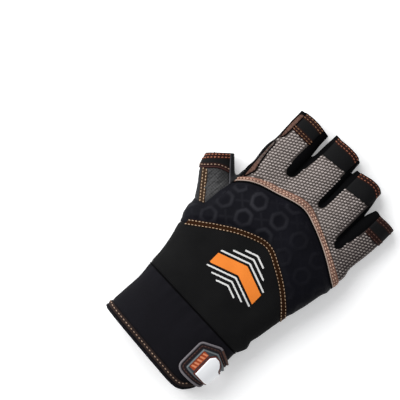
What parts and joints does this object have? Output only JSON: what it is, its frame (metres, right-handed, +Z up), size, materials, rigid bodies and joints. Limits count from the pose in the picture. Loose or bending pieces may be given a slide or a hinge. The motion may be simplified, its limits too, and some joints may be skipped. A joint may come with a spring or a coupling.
{
  "type": "half-finger impact glove",
  "caption": "Half-finger work glove for the right hand with padded palm and knuckles, mesh finger backs and a wrapped wrist closure, lying palm down.",
  "frame": {"origin": "middle of the bounding box in plan, on the surface that the glove lies on", "axes": "+X to the little finger side, +Y to the fingertips, +Z up out of the back of the hand"},
  "size_m": [0.1324, 0.2044, 0.036],
  "materials": {
    "cuff_neoprene": "matte navy-black neoprene with a jersey face",
    "binding_tape": "dark brown woven tape with one row of tan stitches",
    "back_knit": "fine black stretch knit",
    "pad_neoprene": "foam-backed neoprene with embossed hexagons",
    "trim_tape": "tan woven tape with two rows of peach stitches",
    "spacer_mesh": "grey spacer mesh with slanting raised loops",
    "side_knit": "black stretch knit",
    "band_fabric": "near-black grip fabric with stitched hems",
    "palm_leather": "synthetic leather with a small embossed grid",
    "pad_leather": "padded synthetic leather with a small embossed grid",
    "thumb_leather": "grey textured synthetic leather",
    "strap_webbing": "dark brown webbing with a grey piped and stitched edge",
    "moulded_rubber": "matt slate moulded rubber",
    "white_patch": "white coated fabric"
  },
  "bodies": {
    "root": {"cuff": "cuff_neoprene", "hem_binding": "binding_tape", "back_panel": "back_knit", "knuckle_pad": "pad_neoprene", "knuckle_trim": "trim_tape", "finger_mesh": "spacer_mesh", "index_band": "band_fabric", "middle_band": "band_fabric", "ring_band": "band_fabric", "pinky_band": "band_fabric", "index_side_binding": "trim_tape", "fourchette_index_middle": "side_knit", "fourchette_middle_ring": "side_knit", "fourchette_ring_pinky": "side_knit", "thumb_back": "thumb_leather", "thumb_band": "band_fabric", "thumb_gusset": "side_knit", "palm_leather": "palm_leather", "heel_pad": "pad_leather", "upper_palm_pad": "pad_leather", "thumb_pad": "pad_leather", "strap": "strap_webbing", "strap_tab": "moulded_rubber", "reflective_patch": "white_patch"}
  },
  "joints": []
}
